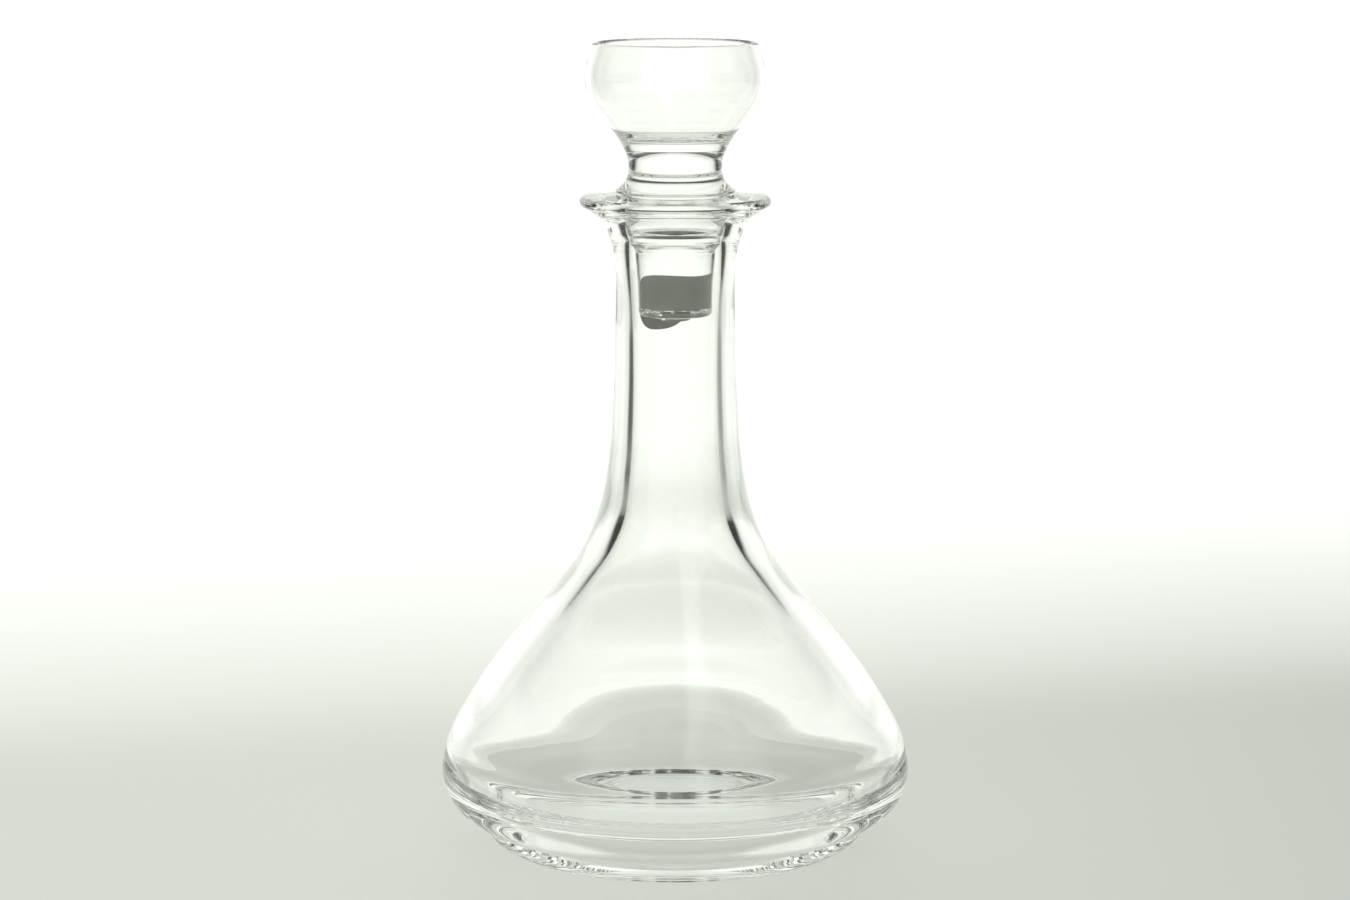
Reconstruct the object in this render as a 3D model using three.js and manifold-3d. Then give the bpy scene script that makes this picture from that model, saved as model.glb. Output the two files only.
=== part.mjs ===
// Ship's decanter in clear glass: a one-piece blown body with a wide low belly and a tall neck,
// a one-piece stopper with a hollow cup-shaped head, and a small oval foil label on the neck.
// Millimetres, +Z up. The origin is on the table, on the axis of the body. -Y is the front.
import * as THREE from 'three';
import { mergeVertices } from 'three/addons/utils/BufferGeometryUtils.js';
import Module from 'manifold-3d';

const wasm = await Module();
wasm.setup();

// ---------------------------------------------------------------- driving dimensions
const TURN_STEPS = 56;            // facets round the body and the stopper

const FOOT_RADIUS = 68.4;         // foot that the decanter stands on
const FOOT_HEIGHT = 8;
const FOOT_ROUNDING = 4.2;
const FOOT_RING_RADIUS = 62;      // inner edge of the flat standing ring
const FOOT_HOLLOW_DEPTH = 4.4;    // the underside rises to this inside the ring

const BELLY_RADIUS = 83.8;        // widest place of the body
const BELLY_HEIGHT = 24.5;
const CREASE_RADIUS = 70;         // where the belly tucks in above the foot

const NECK_RADIUS = 21.2;
const COLLAR_RADIUS = 25.8;       // top of the neck, under the lip
const COLLAR_HEIGHT = 220.4;
const LIP_RADIUS = 33.5;
const LIP_ROUNDING = 2;
const LIP_HEIGHT = 226.7;         // middle of the lip's rounded edge
const LIP_TOP = 229.3;

const BASE_THICKNESS = 8.6;
const CHAMBER_RADIUS = 79;        // widest place of the hollow inside
const CHAMBER_FLOOR_RADIUS = 20;  // flat middle of the chamber's floor
const CHAMBER_WIDEST = 27;        // height of that widest place
const BORE_RADIUS = 15.05;        // bore of the neck below the seat
const SEAT_BOTTOM = 215;          // the mouth opens out as a cone above this height
const SEAT_BOTTOM_RADIUS = 16.2;
const MOUTH_RADIUS = 20.5;        // radius where the cone rounds over into the lip

const STEM_END = 186.9;           // lower end of the stopper's stem
const STEM_END_RADIUS = 13;
const STEM_TOP_RADIUS = 14;
const STEM_TOP = 211.6;
const NUB_RADIUS = 5.6;           // cracked-off nub under the stem
const NUB_HEIGHT = 2.1;
const REST_HEIGHT = 229.8;        // underside of the stopper's flange
const FLANGE_RADIUS = 20.9;
const WAIST_RADIUS = 16.4;
const HEAD_RADIUS = 31.5;
const HEAD_WIDEST = 268.5;
const RIM_RADIUS = 28.9;
const RIM_ROUNDING = 1.2;
const TOTAL_HEIGHT = 281.8;
const CUP_WALL = 2.5;
const CUP_FLOOR = 248.6;

const LABEL_MIDDLE = 190;         // height of the oval label's middle
const LABEL_HALF_HEIGHT = 12;
const LABEL_HALF_ANGLE = 38;      // degrees of the neck that it covers on each side of its middle
const LABEL_AZIMUTH = 200;        // degrees round from the front, counter-clockwise from above
const LABEL_GAP = 0.35;
const LABEL_THICKNESS = 0.6;

// ---------------------------------------------------------------- helpers
const point = (radius, height) => new THREE.Vector2(radius, height);
const radians = THREE.MathUtils.degToRad;

// Part of an ellipse in the profile plane, angles in degrees from the outward direction.
function arc(radius, height, across, up, from, to, steps) {
  const points = [];
  for (let i = 0; i <= steps; i++) {
    const angle = radians(from + (to - from) * i / steps);
    points.push(point(radius + across * Math.cos(angle), height + up * Math.sin(angle)));
  }
  return points;
}

// Smooth curve through a few profile points.
function smooth(points, steps) {
  return new THREE.SplineCurve(points).getPoints(steps);
}

// Turn a profile, given from the bottom of the axis to the top, about +Z.
function turned(profile) {
  const geometry = new THREE.LatheGeometry(profile, TURN_STEPS);
  geometry.rotateX(Math.PI / 2);
  return solid(geometry);
}

function solid(geometry) {
  geometry.deleteAttribute('normal');
  geometry.deleteAttribute('uv');
  const merged = mergeVertices(geometry, 1e-4);
  return new wasm.Manifold(new wasm.Mesh({
    numProp: 3,
    vertProperties: merged.attributes.position.array,
    triVerts: merged.index.array,
  }));
}

function namedMesh(name, body, material) {
  const { vertProperties, triVerts } = body.getMesh();
  const geometry = new THREE.BufferGeometry();
  geometry.setAttribute('position', new THREE.BufferAttribute(vertProperties, 3));
  geometry.setIndex(new THREE.BufferAttribute(triVerts, 1));
  geometry.computeVertexNormals();
  const mesh = new THREE.Mesh(geometry, material);
  mesh.name = name;
  return mesh;
}

// ---------------------------------------------------------------- materials
const clearGlass = new THREE.MeshStandardMaterial({
  color: 0xf4f8f4, roughness: 0.03, metalness: 0, transparent: true, opacity: 0.35,
});
const labelFoil = new THREE.MeshStandardMaterial({ color: 0x8b9087, roughness: 0.6, metalness: 0 });

// ---------------------------------------------------------------- decanter body
// Outer outline from the widest place of the belly up to the collar under the lip.
const bellyToCollar = smooth([
  point(BELLY_RADIUS, BELLY_HEIGHT), point(81.4, 35), point(75.6, 46), point(65.6, 61.5),
  point(50.6, 80.6), point(33.4, 102.2), point(26.4, 120), point(23.2, 138.4), point(21.9, 156.3),
  point(NECK_RADIUS, 177.7), point(NECK_RADIUS, 205.3), point(22.8, 213.7),
  point(COLLAR_RADIUS, COLLAR_HEIGHT),
], 30);

// Underside, from the axis to the crease above the foot.
const foot = [
  ...smooth([
    point(0, FOOT_HOLLOW_DEPTH), point(12, 4.3), point(30, 3.6), point(46, 2.2), point(57, 0.7),
    point(FOOT_RING_RADIUS, 0),
  ], 9),
  ...arc(FOOT_RADIUS - FOOT_ROUNDING, FOOT_ROUNDING, FOOT_ROUNDING, FOOT_ROUNDING, -90, 45, 7),
  point(67, 7.5), point(67.6, FOOT_HEIGHT),
];

// Chamber that holds the wine, from its floor up to the bore of the neck.
const chamber = [
  point(0, BASE_THICKNESS),
  ...arc(CHAMBER_FLOOR_RADIUS, CHAMBER_WIDEST, CHAMBER_RADIUS - CHAMBER_FLOOR_RADIUS,
    CHAMBER_WIDEST - BASE_THICKNESS, -90, -4, 10),
  ...smooth([
    point(78, 31), point(74.6, 36), point(68.2, 44), point(61.2, 52.2), point(51.3, 64.5),
    point(42.6, 75.2), point(36.6, 82.6), point(28.9, 93.2), point(21.9, 104.7), point(18.5, 113.5), point(16.2, 131),
    point(BORE_RADIUS, 156), point(BORE_RADIUS, 180), point(BORE_RADIUS + 0.9, 200),
    point(SEAT_BOTTOM_RADIUS, SEAT_BOTTOM),
  ], 29),
];

// Conical mouth that the stopper's shoulder sits in, up to the top of the lip.
const mouth = [
  point(16.9, SEAT_BOTTOM + 2.5),
  ...arc(MOUTH_RADIUS, LIP_TOP - 1.5, 1.5, 1.5, 170, 90, 3),
];

function decanterBody() {
  return turned([
    ...foot,
    ...arc(CREASE_RADIUS, BELLY_HEIGHT, BELLY_RADIUS - CREASE_RADIUS, BELLY_HEIGHT - FOOT_HEIGHT,
      -88, -8, 8),
    ...bellyToCollar,
    ...arc(LIP_RADIUS - LIP_ROUNDING, LIP_HEIGHT, LIP_ROUNDING, LIP_ROUNDING, -75, 80, 6),
    ...mouth.reverse(),
    ...chamber.reverse(),
  ]);
}

// ---------------------------------------------------------------- stopper
// Shoulder that sits in the conical mouth, a fixed gap inside it.
const stem = [
  point(0, STEM_END - NUB_HEIGHT), point(NUB_RADIUS, STEM_END - NUB_HEIGHT), point(NUB_RADIUS, STEM_END),
  ...arc(STEM_END_RADIUS - 1.3, STEM_END + 1.3, 1.3, 1.3, -90, 0, 3),
  point(STEM_END_RADIUS + 0.2, 199), point(STEM_TOP_RADIUS, STEM_TOP), point(14.5, 213),
  point(15.6, 214.2), point(15.8, 216.5), point(16.5, 218.5), point(18.6, 228.3), point(19.4, REST_HEIGHT),
];

function stopper() {
  return turned([
    ...stem,
    ...smooth([
      point(20.6, REST_HEIGHT), point(FLANGE_RADIUS, REST_HEIGHT + 0.9), point(20, 231.2),
      point(18.3, 233), point(17.1, 234.6), point(WAIST_RADIUS, 237.8), point(17.1, 243),
      point(19.6, 248), point(22.2, 251.8), point(25.8, 256), point(28.6, 259.8), point(30.6, 263.6),
      point(HEAD_RADIUS, HEAD_WIDEST), point(31.1, 273.5), point(RIM_RADIUS, TOTAL_HEIGHT - RIM_ROUNDING),
    ], 28),
    ...arc(RIM_RADIUS - RIM_ROUNDING, TOTAL_HEIGHT - RIM_ROUNDING, RIM_ROUNDING, RIM_ROUNDING, 0, 180, 6)
      .slice(1),
    ...smooth([
      point(RIM_RADIUS - CUP_WALL, TOTAL_HEIGHT - 1.4), point(31.1 - CUP_WALL, 273.5),
      point(HEAD_RADIUS - CUP_WALL, HEAD_WIDEST), point(27.9, 263.6), point(25.4, 259.2),
      point(22.3, 255.2), point(19.4, 251.8), point(16.8, CUP_FLOOR + 1), point(12, CUP_FLOOR + 0.1),
      point(0, CUP_FLOOR),
    ], 20),
  ]);
}

// ---------------------------------------------------------------- neck label
// Thin oval foil that follows the round of the neck at its back.
function neckLabel() {
  const rounds = 6;
  const across = 48;
  const positions = [];
  const triangles = [];

  // Points of one face of the label: its middle, then rounds out to its edge.
  for (const radius of [NECK_RADIUS + LABEL_GAP, NECK_RADIUS + LABEL_GAP + LABEL_THICKNESS]) {
    for (let i = 0; i <= rounds; i++) {
      for (let j = 0; j < (i ? across : 1); j++) {
        const turn = 2 * Math.PI * j / across;
        const angle = radians(LABEL_AZIMUTH + LABEL_HALF_ANGLE * Math.cos(turn) * i / rounds);
        positions.push(radius * Math.sin(angle), -radius * Math.cos(angle),
          LABEL_MIDDLE + LABEL_HALF_HEIGHT * Math.sin(turn) * i / rounds);
      }
    }
  }
  const face = positions.length / 6;
  const at = (i, j) => (i ? 1 + (i - 1) * across + j % across : 0);
  for (let j = 0; j < across; j++) {
    for (let i = 0; i < rounds; i++) {
      const corners = [[at(i, j), at(i + 1, j), at(i + 1, j + 1)]];
      if (i) corners.push([at(i, j), at(i + 1, j + 1), at(i, j + 1)]);
      for (const [a, b, c] of corners) {
        triangles.push(a, c, b, face + a, face + b, face + c);
      }
    }
    const [a, b] = [at(rounds, j), at(rounds, j + 1)];
    triangles.push(a, b, face + b, a, face + b, face + a);
  }
  const geometry = new THREE.BufferGeometry();
  geometry.setAttribute('position', new THREE.BufferAttribute(new Float32Array(positions), 3));
  geometry.setIndex(triangles);
  return solid(geometry);
}

const decanter = new THREE.Group();
decanter.add(namedMesh('decanter_body', decanterBody(), clearGlass));
decanter.add(namedMesh('stopper', stopper(), clearGlass));
decanter.add(namedMesh('neck_label', neckLabel(), labelFoil));

export default decanter;
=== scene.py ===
"""Glass ship's decanter with its cup-headed stopper and a small foil label, on a plain pale floor.

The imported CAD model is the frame. Profiles below are in millimetres, as in the part's own dimensions,
and every mesh is made in metres in the frame's axes.
"""

import math

import bpy
import numpy as np
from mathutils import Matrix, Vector


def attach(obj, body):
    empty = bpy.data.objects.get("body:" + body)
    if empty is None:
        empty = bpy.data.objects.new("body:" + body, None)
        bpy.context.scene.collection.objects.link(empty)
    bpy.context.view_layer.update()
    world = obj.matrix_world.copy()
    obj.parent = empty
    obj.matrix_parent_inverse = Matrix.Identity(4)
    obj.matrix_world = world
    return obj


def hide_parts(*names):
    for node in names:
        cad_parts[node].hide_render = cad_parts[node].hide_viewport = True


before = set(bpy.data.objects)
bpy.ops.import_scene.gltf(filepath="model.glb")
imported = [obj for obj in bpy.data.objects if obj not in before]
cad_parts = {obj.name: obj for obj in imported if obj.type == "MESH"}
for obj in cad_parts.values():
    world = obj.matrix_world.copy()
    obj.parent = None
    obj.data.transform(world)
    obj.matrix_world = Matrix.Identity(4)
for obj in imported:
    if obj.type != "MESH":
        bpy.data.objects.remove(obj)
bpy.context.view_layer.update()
scene = bpy.context.scene
MM = 0.001

# ---------------------------------------------------------------- driving dimensions
BASE_THICKNESS = 8.6
BELLY_RADIUS, BELLY_HEIGHT = 83.8, 24.5
CREASE_RADIUS = 70.0
FOOT_RADIUS, FOOT_HEIGHT, FOOT_ROUNDING = 68.4, 8.0, 4.2
CHAMBER_RADIUS, CHAMBER_WIDEST = 79.0, 27.0
CHAMBER_FLOOR_RADIUS = 20.0
NECK_RADIUS = 21.2
BORE = 15.05

LIP_RADIUS, LIP_HEIGHT, LIP_ROUNDING = 33.5, 226.7, 2.0
LIP_TOP = 229.3
STOPPER_REST = 229.8
STEM_END = 186.9
CUP_FLOOR = 248.6

LABEL_AZIMUTH = 200.0           # degrees round from the front, counter-clockwise from above
LABEL_HALF_ANGLE = 38.0
LABEL_MIDDLE, LABEL_HALF_HEIGHT = 190.0, 12.0
LABEL_SINK, LABEL_THICKNESS = 0.05, 0.16

CAMERA_DISTANCE, CAMERA_HEIGHT, CAMERA_PITCH = 1.084, 0.3393, 10.5
LENS = 83.07


# ---------------------------------------------------------------- profile helpers
def spline(points, steps):
    """Centripetal Catmull-Rom curve through (radius, height) points."""
    pts = [np.array(p, float) for p in points]
    pts = [2 * pts[0] - pts[1]] + pts + [2 * pts[-1] - pts[-2]]
    out = []
    for p0, p1, p2, p3 in zip(pts, pts[1:], pts[2:], pts[3:]):
        t1 = np.linalg.norm(p1 - p0) ** 0.5
        t2 = t1 + np.linalg.norm(p2 - p1) ** 0.5
        t3 = t2 + np.linalg.norm(p3 - p2) ** 0.5
        for k in range(steps):
            t = t1 + (t2 - t1) * k / steps
            a1 = (t1 - t) / t1 * p0 + t / t1 * p1
            a2 = (t2 - t) / (t2 - t1) * p1 + (t - t1) / (t2 - t1) * p2
            a3 = (t3 - t) / (t3 - t2) * p2 + (t - t2) / (t3 - t2) * p3
            b1 = (t2 - t) / t2 * a1 + t / t2 * a2
            b2 = (t3 - t) / (t3 - t1) * a2 + (t - t1) / (t3 - t1) * a3
            out.append(tuple((t2 - t) / (t2 - t1) * b1 + (t - t1) / (t2 - t1) * b2))
    return out + [tuple(points[-1])]


def arc(radius, height, across, up, start, end, steps):
    """Part of an ellipse in the profile plane, angles in degrees from the outward direction."""
    angles = np.radians(np.linspace(start, end, steps + 1))
    return [(radius + across * math.cos(a), height + up * math.sin(a)) for a in angles]


def even(profile, step):
    """The profile with points at an even spacing, keeping its corners."""
    pts = np.array(profile, float)
    keep = [0]
    for i in range(1, len(pts) - 1):
        a, b = pts[i] - pts[i - 1], pts[i + 1] - pts[i]
        if a @ b < math.cos(math.radians(14)) * np.linalg.norm(a) * np.linalg.norm(b):
            keep.append(i)
    keep.append(len(pts) - 1)
    out = []
    for s, e in zip(keep, keep[1:]):
        part = pts[s:e + 1]
        along = np.r_[0, np.cumsum(np.linalg.norm(np.diff(part, axis=0), axis=1))]
        t = np.linspace(0, along[-1], max(1, round(along[-1] / step)) + 1)[:-1]
        out += list(zip(np.interp(t, along, part[:, 0]), np.interp(t, along, part[:, 1])))
    return out + [tuple(pts[-1])]


def at_height(curve, height):
    """Radius of a profile at a height."""
    pts = np.array(sorted(curve, key=lambda p: p[1]))
    return float(np.interp(height, pts[:, 1], pts[:, 0]))


# ---------------------------------------------------------------- the body's outlines
# OUTSIDE runs from the widest place of the belly up to the collar, FOOT from the middle of the underside
# round the foot and the crease above it up to the belly, MOUTH over the lip and down the stopper's seat.
OUTSIDE = spline([
    (BELLY_RADIUS, BELLY_HEIGHT), (81.4, 35), (75.6, 46), (65.6, 61.5), (50.6, 80.6), (33.4, 102.2),
    (26.4, 120), (23.2, 138.4), (21.9, 156.3), (NECK_RADIUS, 177.7), (NECK_RADIUS, 205.3),
    (22.8, 213.7), (25.8, 220.4),
], 16)
FOOT = (
    spline([(0.0, 4.4), (12.0, 4.3), (30.0, 3.6), (46.0, 2.2), (57.0, 0.7), (61.0, 0.15), (62.0, 0.0)], 8)
    + arc(FOOT_RADIUS - FOOT_ROUNDING, FOOT_ROUNDING, FOOT_ROUNDING, FOOT_ROUNDING, -90, 45, 24)
    + spline([(67.17, 6.97), (67.0, 7.5), (67.6, 8.0), (69.5, 8.1)], 6)[1:]
    + arc(CREASE_RADIUS, BELLY_HEIGHT, BELLY_RADIUS - CREASE_RADIUS, BELLY_HEIGHT - FOOT_HEIGHT,
          -88, -3, 40)
)
MOUTH = (
    [(25.8, 220.4)]
    + arc(LIP_RADIUS - LIP_ROUNDING, LIP_HEIGHT, LIP_ROUNDING, LIP_ROUNDING, -75, 80, 12)
    + [(20.5, LIP_TOP)] + arc(20.5, LIP_TOP - 1.5, 1.5, 1.5, 90, 170, 5)
    + [(16.9, 217.5), (16.2, 215)]
)


def inner_outline():
    """The hollow inside, from the middle of its floor up to the foot of the stopper's seat."""
    low = arc(CHAMBER_FLOOR_RADIUS, CHAMBER_WIDEST, CHAMBER_RADIUS - CHAMBER_FLOOR_RADIUS,
              CHAMBER_WIDEST - BASE_THICKNESS, -90, -4, 40)
    side = spline([
        low[-1], (78.0, 31), (74.6, 36), (68.2, 44), (61.2, 52.2), (51.3, 64.5), (42.6, 75.2),
        (36.6, 82.6), (28.9, 93.2), (21.9, 104.7), (18.5, 113.5), (16.2, 131), (BORE, 156), (BORE, 180),
        (BORE + 0.9, 200), (16.2, 215),
    ], 12)
    return [(0.0, BASE_THICKNESS)] + low + side[1:]


def outside_radius(height):
    return at_height(OUTSIDE, height)


# ---------------------------------------------------------------- mesh helpers
def mesh_object(name, rings, smooth_below=9.0):
    """A closed mesh from rings of points in millimetres; a ring of one point closes an end."""
    verts, faces, start = [], [], []
    for ring in rings:
        start.append(len(verts))
        verts += [(x * MM, y * MM, z * MM) for x, y, z in ring]
    for i, (a, b) in enumerate(zip(rings, rings[1:])):
        sa, sb, n = start[i], start[i + 1], max(len(a), len(b))
        for j in range(n):
            k = (j + 1) % n
            if len(a) == 1:
                faces.append((sa, sb + k, sb + j))
            elif len(b) == 1:
                faces.append((sa + j, sa + k, sb))
            else:
                faces.append((sa + j, sa + k, sb + k, sb + j))
    mesh = bpy.data.meshes.new(name)
    mesh.from_pydata(verts, [], faces)
    mesh.validate()
    mesh.update()
    mesh.shade_smooth()
    mesh.set_sharp_from_angle(angle=math.radians(smooth_below))
    piece = bpy.data.objects.new(name, mesh)
    scene.collection.objects.link(piece)
    return piece


def round_ring(radius, height, azimuths):
    if radius < 1e-6:
        return [(0.0, 0.0, height)]
    return [(radius * math.sin(a), -radius * math.cos(a), height) for a in azimuths]


# ---------------------------------------------------------------- decanter body
ROUND = [2 * math.pi * j / 256 for j in range(256)]


def decanter_glass():
    """The outer outline up to the lip, then the seat, then the hollow down to its floor."""
    profile = even(FOOT + OUTSIDE, 1.0) + even(MOUTH, 0.5)[1:] + even(inner_outline()[::-1], 1.0)[1:]
    return mesh_object("decanter_glass", [round_ring(r, z, ROUND) for r, z in profile])


# ---------------------------------------------------------------- stopper
def stopper_glass():
    nub, end = STEM_END - 2.1, STEM_END
    stem = (
        [(0.0, nub), (5.2, nub), (5.6, nub + 0.4), (5.6, end)]
        + arc(11.7, end + 1.3, 1.3, 1.3, -90, 0, 8)
        + [(13.2, 199), (14.0, 211.6), (14.5, 213.0), (15.6, 214.2), (15.8, 216.5), (16.5, 218.5),
           (18.6, 228.3), (19.4, STOPPER_REST)]
    )
    head = spline([
        (20.6, STOPPER_REST), (20.9, STOPPER_REST + 0.9), (20.0, 231.2), (18.3, 233), (17.1, 234.6),
        (16.45, 236.6), (16.4, 239), (17.1, 243), (19.6, 248), (22.2, 251.8), (25.8, 256),
        (28.6, 259.8), (30.6, 263.6), (31.5, 268.5), (31.1, 273.5), (29.0, 280.6),
    ], 10)
    rim = arc(27.7, 280.6, 1.2, 1.2, 0, 180, 10)
    cup = spline([
        (26.5, 280.6), (28.6, 273.5), (29.0, 268.5), (27.9, 263.6), (25.4, 259.2), (22.3, 255.2),
        (19.4, 251.8), (16.8, CUP_FLOOR + 1.0), (12.0, CUP_FLOOR + 0.1), (0.0, CUP_FLOOR),
    ], 10)
    profile = even(stem + head + rim[1:] + cup[1:], 0.5)
    return mesh_object("stopper_glass", [round_ring(r, z, ROUND) for r, z in profile])


# ---------------------------------------------------------------- label
def label_foil():
    """Thin oval foil that follows the neck's surface."""
    across, rounds = 72, 14
    middle = math.radians(LABEL_AZIMUTH)
    half = math.radians(LABEL_HALF_ANGLE)
    power = 2.4

    def disc(offset, order):
        rings = []
        for i in order:
            s = i / rounds
            ring = []
            for j in range(across):
                t = 2 * math.pi * j / across
                u = math.copysign(abs(math.cos(t)) ** (2 / power), math.cos(t)) * s
                v = math.copysign(abs(math.sin(t)) ** (2 / power), math.sin(t)) * s
                a, z = middle + half * u, LABEL_MIDDLE + LABEL_HALF_HEIGHT * v
                r = outside_radius(z) + offset
                ring.append((r * math.sin(a), -r * math.cos(a), z))
            rings.append(ring if i else ring[:1])
        return rings

    inner = disc(-LABEL_SINK, range(rounds + 1))
    outer = disc(LABEL_THICKNESS - LABEL_SINK, range(rounds, -1, -1))
    return mesh_object("label_foil", inner + outer, 40)


# ---------------------------------------------------------------- materials
def node_material(name):
    material = bpy.data.materials.new(name)
    material.use_nodes = True
    tree = material.node_tree
    return material, tree, tree.nodes["Principled BSDF"]


def link(tree, source, target):
    tree.links.new(source, target)


def clear_glass(name, ripple, stretch):
    """Polished soda glass with the faint waviness of hand working and a fine polishing ripple."""
    material, tree, shader = node_material(name)
    shader.inputs["Base Color"].default_value = (0.985, 0.992, 0.985, 1)
    shader.inputs["Roughness"].default_value = 0.0
    shader.inputs["IOR"].default_value = 1.52
    shader.inputs["Transmission Weight"].default_value = 1.0
    place = tree.nodes.new("ShaderNodeTexCoord")
    scale = tree.nodes.new("ShaderNodeMapping")
    scale.inputs["Scale"].default_value = (1, 1, stretch)
    link(tree, place.outputs["Object"], scale.inputs["Vector"])
    wave = tree.nodes.new("ShaderNodeTexNoise")
    wave.inputs["Scale"].default_value = 38
    wave.inputs["Detail"].default_value = 1.5
    link(tree, scale.outputs["Vector"], wave.inputs["Vector"])
    bump = tree.nodes.new("ShaderNodeBump")
    bump.inputs["Strength"].default_value = 1.0
    bump.inputs["Distance"].default_value = ripple
    link(tree, wave.outputs["Fac"], bump.inputs["Height"])
    link(tree, bump.outputs["Normal"], shader.inputs["Normal"])
    return material


def label_material():
    material, tree, shader = node_material("label_foil")
    place = tree.nodes.new("ShaderNodeTexCoord")
    grain = tree.nodes.new("ShaderNodeTexNoise")
    grain.inputs["Scale"].default_value = 900
    grain.inputs["Detail"].default_value = 4
    link(tree, place.outputs["Object"], grain.inputs["Vector"])
    tone = tree.nodes.new("ShaderNodeValToRGB")
    tone.color_ramp.elements[0].color = (0.345, 0.380, 0.285, 1)
    tone.color_ramp.elements[1].color = (0.410, 0.450, 0.340, 1)
    link(tree, grain.outputs["Fac"], tone.inputs["Fac"])
    link(tree, tone.outputs["Color"], shader.inputs["Base Color"])
    shader.inputs["Roughness"].default_value = 0.7
    return material


# ---------------------------------------------------------------- pieces
body = decanter_glass()
body.data.materials.append(clear_glass("body_glass", 0.000018, 0.35))
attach(body, "decanter")
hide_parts("decanter_body")

stopper = stopper_glass()
stopper.data.materials.append(clear_glass("stopper_glass", 0.00001, 0.6))
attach(stopper, "stopper")
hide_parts("stopper")

label = label_foil()
label.data.materials.append(label_material())
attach(label, "decanter")
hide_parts("neck_label")


# ---------------------------------------------------------------- floor
# painted glow: the floor gives off its own light in place of the studio light falling on it
FLOOR_PAINTED_GLOW = (0.615, 0.645, 0.585)
FLOOR_RIGHT_PAINTED_SHADE = 0.80                # painted shade: the right side of the floor is a little darker
FLOOR_SLANT = 0.2               # and whitens a little further back
FLOOR_FADE_START, FLOOR_FADE_END = 0.10, 0.60
FLOOR_FADE = ((0.10, 0.05), (0.22, 0.27), (0.36, 0.43), (0.52, 0.58), (0.70, 0.72))
FLOOR_DROP = 0.0002


def painted_glow_floor():
    """A plain pale sheet that runs out into the white of the studio tent behind the object; its brightness is
    painted glow standing in for the studio light on it, with painted shade toward its right side.
    """
    size = 3.0
    mesh = bpy.data.meshes.new("floor")
    mesh.from_pydata([(x * size, y * size, -FLOOR_DROP) for x, y in ((-1, -1), (1, -1), (1, 1), (-1, 1))],
                     [], [(0, 1, 2, 3)])
    floor = bpy.data.objects.new("floor", mesh)
    scene.collection.objects.link(floor)
    material, tree, shader = node_material("floor")
    shader.inputs["Base Color"].default_value = (0.25, 0.26, 0.245, 1)
    shader.inputs["Roughness"].default_value = 0.7
    # painted glow: the floor's emission stands in for the light falling on the floor
    shader.inputs["Emission Strength"].default_value = 0.93
    place = tree.nodes.new("ShaderNodeTexCoord")
    split = tree.nodes.new("ShaderNodeSeparateXYZ")
    link(tree, place.outputs["Object"], split.inputs["Vector"])
    away = tree.nodes.new("ShaderNodeMapRange")
    away.inputs["From Min"].default_value = FLOOR_FADE_START
    away.inputs["From Max"].default_value = FLOOR_FADE_END
    slant = tree.nodes.new("ShaderNodeVectorMath")
    slant.operation = "DOT_PRODUCT"
    slant.inputs[1].default_value = (-FLOOR_SLANT, 1, 0)
    link(tree, place.outputs["Object"], slant.inputs[0])
    link(tree, slant.outputs["Value"], away.inputs["Value"])
    # painted shade: the glow darkens across the floor toward its right side
    across = tree.nodes.new("ShaderNodeMapRange")
    across.inputs["From Min"].default_value, across.inputs["From Max"].default_value = -0.05, 0.28
    link(tree, split.outputs["X"], across.inputs["Value"])
    painted_glow = tree.nodes.new("ShaderNodeValToRGB")
    painted_glow.color_ramp.elements[0].color = (*FLOOR_PAINTED_GLOW, 1)
    painted_glow.color_ramp.elements[1].color = (*(FLOOR_RIGHT_PAINTED_SHADE * value for value in FLOOR_PAINTED_GLOW), 1)
    link(tree, across.outputs["Result"], painted_glow.inputs["Fac"])
    link(tree, painted_glow.outputs["Color"], shader.inputs["Emission Color"])
    fade = tree.nodes.new("ShaderNodeValToRGB")
    ramp = fade.color_ramp
    ramp.interpolation = "B_SPLINE"
    for position, value in FLOOR_FADE:
        stop = ramp.elements.new(position)
        stop.color = (value, value, value, 1)
    link(tree, away.outputs["Result"], fade.inputs["Fac"])
    clear = tree.nodes.new("ShaderNodeBsdfTransparent")
    mix = tree.nodes.new("ShaderNodeMixShader")
    link(tree, fade.outputs["Color"], mix.inputs["Fac"])
    link(tree, shader.outputs["BSDF"], mix.inputs[1])
    link(tree, clear.outputs["BSDF"], mix.inputs[2])
    link(tree, mix.outputs["Shader"], tree.nodes["Material Output"].inputs["Surface"])
    mesh.materials.append(material)
    return floor


painted_glow_floor()


# ---------------------------------------------------------------- studio tent and camera
TENT_WHITE = (1.14, 1.17, 1.10)
TOP_START, TOP_FULL, TOP_LEFT = 38.0, 48.0, 0.04     # elevations where the tent's dark top begins
FRONT_GAP, FRONT_SOFT = 0.8, 0.05                    # bright wedge in front that splits the dark top
WEDGE_AZIMUTH = 24.0                                 # it lies a little to the right
SIDE_GAP = (38.0, 50.0, 0.0)                         # dark openings at the sides
CAMERA_OPENING = (3.0, 5.0, 0.3)                     # the slit that the camera looks through
BACK_WHITE = (24.0, 42.0, 0.80)                      # the tent is whitest straight behind the object


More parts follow.
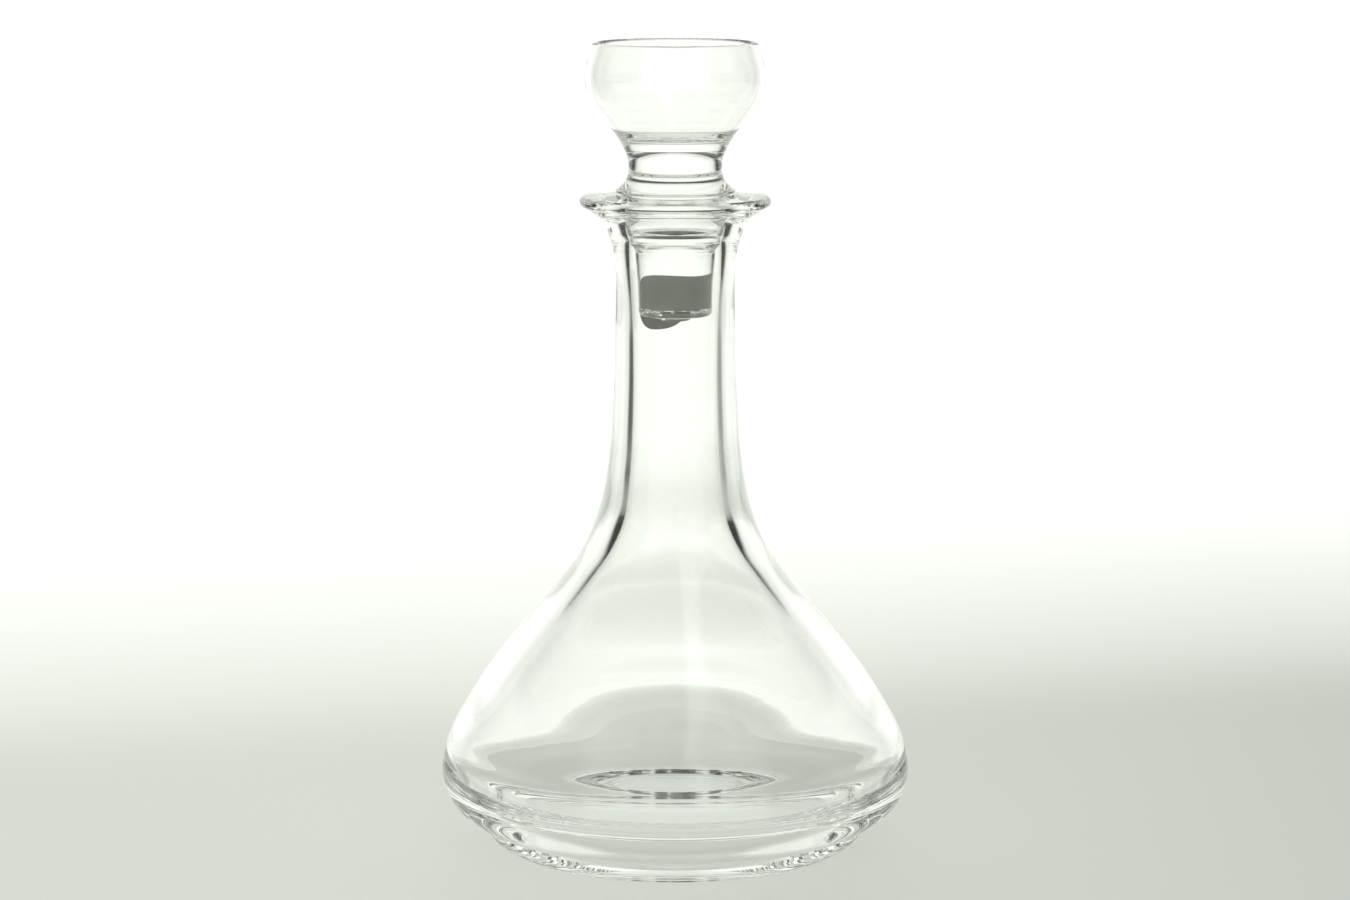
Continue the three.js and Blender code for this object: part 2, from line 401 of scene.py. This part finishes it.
def studio_tent():
    world = bpy.data.worlds.new("studio_tent")
    scene.world = world
    world.use_nodes = True
    tree = world.node_tree
    background = tree.nodes["Background"]
    place = tree.nodes.new("ShaderNodeTexCoord")
    direction = place.outputs["Generated"]

    def math_node(operation, a, b=None, c=None):
        node = tree.nodes.new("ShaderNodeMath")
        node.operation = operation
        for socket, value in zip(node.inputs, (a, b, c)):
            if isinstance(value, (int, float)):
                socket.default_value = value
            elif value is not None:
                link(tree, value, socket)
        return node.outputs["Value"]

    def along(axis):
        dot = tree.nodes.new("ShaderNodeVectorMath")
        dot.operation = "DOT_PRODUCT"
        dot.inputs[1].default_value = Vector(axis).normalized()
        link(tree, direction, dot.inputs[0])
        return dot.outputs["Value"]

    def soft_step(value, low, high, below, above):
        step = tree.nodes.new("ShaderNodeMapRange")
        step.interpolation_type = "SMOOTHSTEP"
        for name, number in zip(("From Min", "From Max", "To Min", "To Max"), (low, high, below, above)):
            step.inputs[name].default_value = number
        link(tree, value, step.inputs["Value"])
        return step.outputs["Result"]

    def spot(axis, inner, outer, left):
        return soft_step(along(axis), math.cos(math.radians(outer)), math.cos(math.radians(inner)), 1.0, left)

    front, right = Vector((0, -1, 0)), Vector((1, 0, 0))
    turn = math.radians(WEDGE_AZIMUTH)
    up = along((0, 0, 1))
    top = soft_step(up, math.sin(math.radians(TOP_START)), math.sin(math.radians(TOP_FULL)), 1.0, TOP_LEFT)
    reach = math_node("MULTIPLY", math_node("SUBTRACT", 1.0, up), FRONT_GAP)
    inside = math_node("SUBTRACT", reach, math_node("ABSOLUTE", along((math.cos(turn), math.sin(turn), 0))))
    wedge = math_node("MULTIPLY", soft_step(inside, -FRONT_SOFT, FRONT_SOFT, 0.0, 1.0),
                      soft_step(along(front), 0.0, 0.1, 0.0, 1.0))
    light = math_node("MAXIMUM", top, wedge)
    for side in (right, -right):
        light = math_node("MULTIPLY", light, spot(side + Vector((0, 0, 0.15)), *SIDE_GAP))
    inner, outer, rest = BACK_WHITE
    light = math_node("MULTIPLY", light, soft_step(
        along(-front), math.cos(math.radians(outer)), math.cos(math.radians(inner)), rest, 1.0))
    toward_camera = front + Vector((0, 0, CAMERA_HEIGHT / CAMERA_DISTANCE))
    light = math_node("MULTIPLY", light, spot(toward_camera, *CAMERA_OPENING))
    tint = tree.nodes.new("ShaderNodeMixRGB")
    tint.inputs["Color1"].default_value = (0, 0, 0, 1)
    tint.inputs["Color2"].default_value = (*TENT_WHITE, 1)
    link(tree, light, tint.inputs["Fac"])
    link(tree, tint.outputs["Color"], background.inputs["Color"])


def camera():
    data = bpy.data.cameras.new("camera")
    data.sensor_width, data.lens = 36, LENS
    data.shift_x = -0.0002
    holder = bpy.data.objects.new("camera", data)
    scene.collection.objects.link(holder)
    holder.location = (0, -CAMERA_DISTANCE, CAMERA_HEIGHT)
    holder.rotation_euler = (math.radians(90 - CAMERA_PITCH), 0, 0)
    scene.camera = holder


studio_tent()
camera()
scene.view_settings.view_transform = "Standard"
scene.cycles.max_bounces = 32
scene.cycles.transmission_bounces = 32
scene.cycles.glossy_bounces = 32
